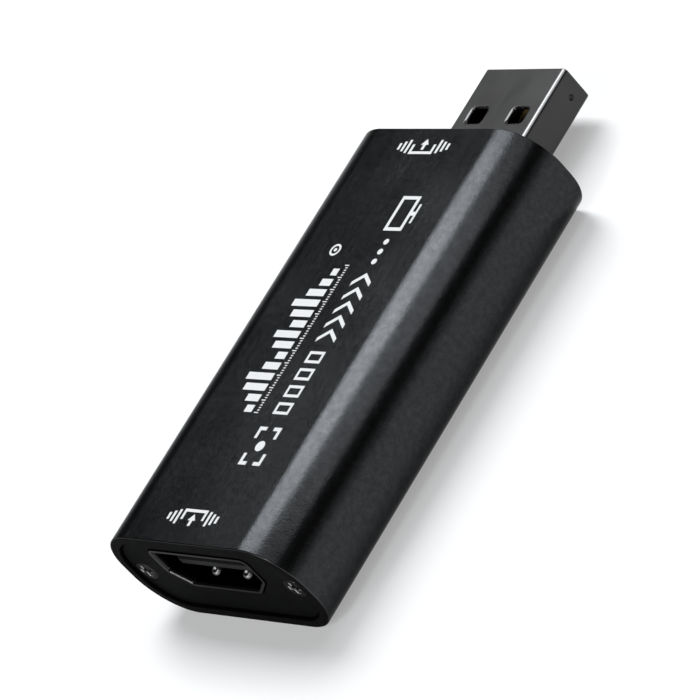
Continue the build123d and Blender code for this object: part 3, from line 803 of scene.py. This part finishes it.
shiny = {
    "detail": 3, "noiseRoughness": 0.6, "cloudTimes": 12, "glossRange": (0.4, 1.1),
    "glossier": 0.06, "duller": 0.1, "depthShare": 0.03, "grainStrength": 0.6,
}
shinyLooks = {  # dark, light, roughness and grain size in millimetres
    "solder": (grey(0.5), grey(0.72), 0.22, 0.2),
    "contact_gold": ((0.62, 0.4, 0.13, 1), (0.86, 0.62, 0.27, 1), 0.2, 0.1),
    "tinned_lead": (grey(0.5), grey(0.7), 0.3, 0.1),
    "spring_dome_plating": (grey(0.3), grey(0.45), 0.36, 0.1),
}
matt = {
    "grain": (0.09, 3, 0.65), "cloud": (2.25, 3, 0.5), "speckRange": (0.5, 0.95),
    "glossRange": (0.3, 0.7), "glossier": 0.06, "duller": 0.08,
    "grainDepth": 0.0072, "grainStrength": 0.7,
}
mattLooks = {  # dark, light, roughness and specular level
    "connector_plastic": (grey(0.007), grey(0.016), 0.5, 0.06),
    "package_plastic": (grey(0.014), grey(0.03), 0.55, 0.4),
    "crystal_ceramic": (grey(0.05, 0.1), grey(0.09, 0.1), 0.6, 0.4),
    "tantalum_plastic": ((0.5, 0.27, 0.04, 1), (0.72, 0.43, 0.09, 1), 0.45, 0.4),
    "capacitor_ceramic": ((0.3, 0.2, 0.12, 1), (0.44, 0.32, 0.2, 1), 0.5, 0.4),
    "resistor_ceramic": (grey(0.015), grey(0.04), 0.4, 0.4),
    "ferrite": (grey(0.05), grey(0.1), 0.6, 0.4),
}


def plugFinish():
    look = plugLook
    f = Finish("plug_plating")
    rolled = f.noise(*look["rolled"])
    scuff = f.noise(*look["scuff"])
    cloud = f.noise(*look["cloud"])
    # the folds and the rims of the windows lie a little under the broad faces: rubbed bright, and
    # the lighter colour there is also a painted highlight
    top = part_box("plug_shell")[1].z
    z = f.axis("Z")
    depth = (top - z).least(z - (top - plugShell["height"]))
    rubbedAndPaintedHighlight = f.between(depth, *look["rubAndHighlightStart"]) * f.between(depth, *look["rubAndHighlightEnd"])
    clean = f.between(cloud + scuff * 0.4, *look["stainRange"])
    plain = f.mixed(clean, look["stain"], look["plain"])
    satin = f.between(cloud + rolled * 0.6, *look["glossRange"], *look["roughness"])
    f.set(
        Base_Color=f.mixed(rubbedAndPaintedHighlight, plain, look["rubbedAndPaintedHighlight"]),
        Metallic=1.0,
        Roughness=satin - rubbedAndPaintedHighlight * look["rubbedGloss"],
        Normal=f.bump(rolled + scuff * 0.5, look["grainDepth"], look["grainStrength"]),
    )
    return f


def socketFinish():
    # dark plating: its dark tone is painted shade for the shaded mouth
    look = socketLook
    f = Finish("socket_plating")
    rolled = f.noise(*look["rolled"])
    cloud = f.noise(*look["cloud"])
    f.set(
        Base_Color=f.mixed(cloud, look["dark"], look["light"]),
        Metallic=1.0,
        Roughness=f.between(cloud + rolled * 0.5, *look["glossRange"], *look["roughness"]),
        Normal=f.bump(rolled, look["grainDepth"], look["grainStrength"]),
        Specular_Tint=glanceTint,
    )
    return f


def plateFinish():
    # black, and darker still as painted shade for the shaded end face
    look = plateLook
    f = Finish("black_plate")
    grain = f.noise(*look["grain"])
    cloud = f.noise(*look["cloud"])
    f.set(
        Base_Color=f.mixed(f.between(grain, *look["speckRange"]), look["dark"], look["light"]),
        Roughness=f.between(cloud, *look["glossRange"], *look["roughness"]),
        Normal=f.bump(grain, look["grainDepth"], look["grainStrength"]),
        Specular_IOR_Level=look["specular"],
    )
    return f


def screwFinish():
    # dark heads, worn to bare metal at the edges of the head and the recess, and these bright
    # edges are also painted glints
    look = screwLook
    f = Finish("screw_steel")
    turned = f.noise(*look["turned"])
    cloud = f.noise(*look["cloud"])
    y = f.axis("Y")
    near, far = inputEnd + look["faceIn"], outputEnd - look["faceIn"]
    depth = (y - near).least(far - y)
    # bare edges: wear, and painted glints
    bareAndPaintedGlint = f.between(depth, *look["bareAndGlintStart"]) * f.between(depth, *look["bareAndGlintEnd"])
    f.set(
        Base_Color=f.mixed(bareAndPaintedGlint, f.mixed(cloud, *look["black"]), f.mixed(cloud, *look["bareAndPaintedGlint"])),
        Metallic=1.0,
        Roughness=f.between(cloud + turned * 0.4, *look["glossRange"], *look["roughness"]),
        Normal=f.bump(turned, look["grainDepth"], look["grainStrength"]),
        Specular_Tint=glanceTint,
    )
    return f


def boardFinish():
    # solder mask over woven glass
    look = boardLook
    f = Finish("board_laminate")
    weave = f.add("ShaderNodeTexBrick", {"offset": 0.5}, {
        "Vector": f.place, "Scale": 1 / (look["weave"] * mm), "Color1": look["warp"],
        "Color2": look["weft"], "Mortar": look["gap"], "Mortar Size": look["gapWidth"],
        "Brick Width": look["threadLength"], "Row Height": look["threadWidth"],
    }, "Color")
    cloud = f.noise(*look["cloud"])
    pale = f.mixed(cloud, weave, look["blank"])
    f.set(
        Base_Color=f.mixed(pale, look["dark"], look["light"]),
        Roughness=f.between(cloud, *look["glossRange"], *look["roughness"]),
        Normal=f.bump(weave, look["grainDepth"], look["grainStrength"]),
    )
    return f


def shinyFinish(name, dark, light, roughness, grainSize):
    # plated or soldered metal, with a slight cloudiness
    f = Finish(name)
    grain = f.noise(grainSize, shiny["detail"], shiny["noiseRoughness"])
    cloud = f.noise(grainSize * shiny["cloudTimes"], shiny["detail"], shiny["noiseRoughness"])
    f.set(
        Base_Color=f.mixed(cloud, dark, light),
        Metallic=1.0,
        Roughness=f.between(cloud + grain * 0.5, *shiny["glossRange"],
                            roughness - shiny["glossier"], roughness + shiny["duller"]),
        Normal=f.bump(grain, grainSize * shiny["depthShare"], shiny["grainStrength"]),
    )
    return f


def mattFinish(name, dark, light, roughness, specular):
    # moulded plastic or fired ceramic, with its own fine grain
    f = Finish(name)
    grain = f.noise(*matt["grain"])
    cloud = f.noise(*matt["cloud"])
    speck = f.between(grain + cloud * 0.5, *matt["speckRange"])
    f.set(
        Base_Color=f.mixed(speck, dark, light),
        Roughness=f.between(grain, *matt["glossRange"],
                            roughness - matt["glossier"], roughness + matt["duller"]),
        Normal=f.bump(grain, matt["grainDepth"], matt["grainStrength"]),
        Specular_IOR_Level=specular,
    )
    return f


def makeFinishes():
    finishes = {
        "black_sleeve": sleeveFinish(), "black_plate": plateFinish(), "screw_steel": screwFinish(),
        "board_laminate": boardFinish(), "socket_plating": socketFinish(),
        "plug_plating": plugFinish(),
    }
    for name, look in shinyLooks.items():
        finishes[name] = shinyFinish(name, *look)
    for name, look in mattLooks.items():
        finishes[name] = mattFinish(name, *look)
    print(len(finishes), "finishes made")
    return finishes


def dressNodes(finishes):
    for part in frame["record"]["subparts"]:
        materials = frame["nodes"][part["node"]].data.materials
        materials.clear()
        materials.append(finishes[part["material_slot"]].material)
    print("finishes set on", len(frame["nodes"]), "nodes")


# Floor, lights and camera

studioFloor = {
    "reach": 3.0, "colour": grey(0.66), "clouded": grey(0.6732), "cloud": (60, 2, 0.5),
    "roughness": 0.9, "white": 0.34,  # white is what it adds for the camera and in reflections
    "drop": 0.02 * mm,  # keeps it clear of the underside
    "bowl": ((0.2, 0), (0.6, 0), (0.8, 0.02), (0.92, 0.08), (1.0, 0.2)), "steps": 64,
}
lights = {
    "worldLevel": 0.06, "worldColour": grey(1.0, -0.01), "lampColour": (0.95, 0.975, 1.0),
    "lamps": {  # place and size in metres, power in watts
        "key_strip": ((-0.353, 0.375, 0.857), (0.74, 0.46), 9.9),
        "fill_panel": ((0.345, 0.4, 0.888), (0.84, 0.46), 2.5),
        "front_panel": ((-0.13, -0.93, 0.33), (0.32, 0.3), 2.0),
        "spark_lamp": ((0.31, -0.62, 0.72), (0.16, 0.16), 1.3),
    },
}
camera = {  # fitted to the outlines in the photograph
    "place": (0.34413759, -0.17860082, 0.25088646), "lens": 236.595, "sensor": 36,
    "clip": (0.01, 20),
    "right": (0.65528905, 0.48375458, -0.58015323),
    "down": (0.03680913, -0.78756731, -0.6151283),
    "ahead": (-0.75448085, 0.3817319, -0.53389081),
}


def floorFinish():
    f = Finish("pale_floor")
    cloud = f.noise(*studioFloor["cloud"])
    f.set(
        Base_Color=f.mixed(cloud, studioFloor["colour"], studioFloor["clouded"]),
        Roughness=studioFloor["roughness"],
        Specular_IOR_Level=0.0,
    )
    seen = sum(f.add("ShaderNodeLightPath", {}, {}, ray)
               for ray in ("Is Camera Ray", "Is Glossy Ray", "Is Transmission Ray"))
    f.set(Emission_Color=grey(1.0), Emission_Strength=seen * studioFloor["white"])
    return f


def makeFloor():
    bm = bmesh.new()
    reach, steps = studioFloor["reach"], studioFloor["steps"]
    turns = [2 * math.pi * i / steps for i in range(steps)]
    rings = []
    for radius, height in studioFloor["bowl"]:
        out, up = reach * radius, reach * height - studioFloor["drop"]
        rings.append([bm.verts.new((out * math.cos(t), out * math.sin(t), up)) for t in turns])
    bm.faces.new(rings[0])
    skin(bm, rings)
    bmesh.ops.recalc_face_normals(bm, faces=bm.faces)
    mesh = bpy.data.meshes.new("floor")
    bm.to_mesh(mesh)
    bm.free()
    mesh.shade_smooth()
    mesh.materials.append(floorFinish().material)
    piece = bpy.data.objects.new("floor", mesh)
    bpy.context.scene.collection.objects.link(piece)


def addLamp(name, place, size, power):
    # a soft panel that faces the box
    lamp = bpy.data.lights.new(name, "AREA")
    lamp.shape = "RECTANGLE"
    lamp.size, lamp.size_y = size
    lamp.energy = power
    lamp.color = lights["lampColour"]
    holder = bpy.data.objects.new(name, lamp)
    holder.location = place
    back = Vector(place).normalized()
    side = Vector((0, 1, 0)).cross(back).normalized()
    holder.rotation_euler = Matrix((side, back.cross(side), back)).transposed().to_euler()
    bpy.context.scene.collection.objects.link(holder)


def makeLights():
    world = bpy.data.worlds.new("studio")
    world.use_nodes = True
    background = world.node_tree.nodes["Background"]
    background.inputs["Color"].default_value = lights["worldColour"]
    background.inputs["Strength"].default_value = lights["worldLevel"]
    bpy.context.scene.world = world
    for name, lamp in lights["lamps"].items():
        addLamp(name, *lamp)


def makeCamera():
    data = bpy.data.cameras.new("photo_camera")
    data.sensor_width = camera["sensor"]
    data.lens = camera["lens"]
    data.clip_start, data.clip_end = camera["clip"]
    holder = bpy.data.objects.new("photo_camera", data)
    axes = (camera["right"], -Vector(camera["down"]), -Vector(camera["ahead"]))
    turn = Matrix(axes).transposed()
    holder.matrix_world = Matrix.Translation(camera["place"]) @ turn.to_4x4()
    bpy.context.scene.collection.objects.link(holder)
    bpy.context.scene.camera = holder


bpy.context.scene.view_settings.view_transform = "Standard"
makeCamera()
makeLights()
makeFloor()
print("camera, lights and floor made")
finishes = makeFinishes()
dressNodes(finishes)
makeSleeve(finishes["black_sleeve"], cutAndPaintedShadeFinish())
makePlugShell(finishes["plug_plating"])
makeDomes(finishes["spring_dome_plating"])
breakEdges(finishes)
makePrint(printFinish())
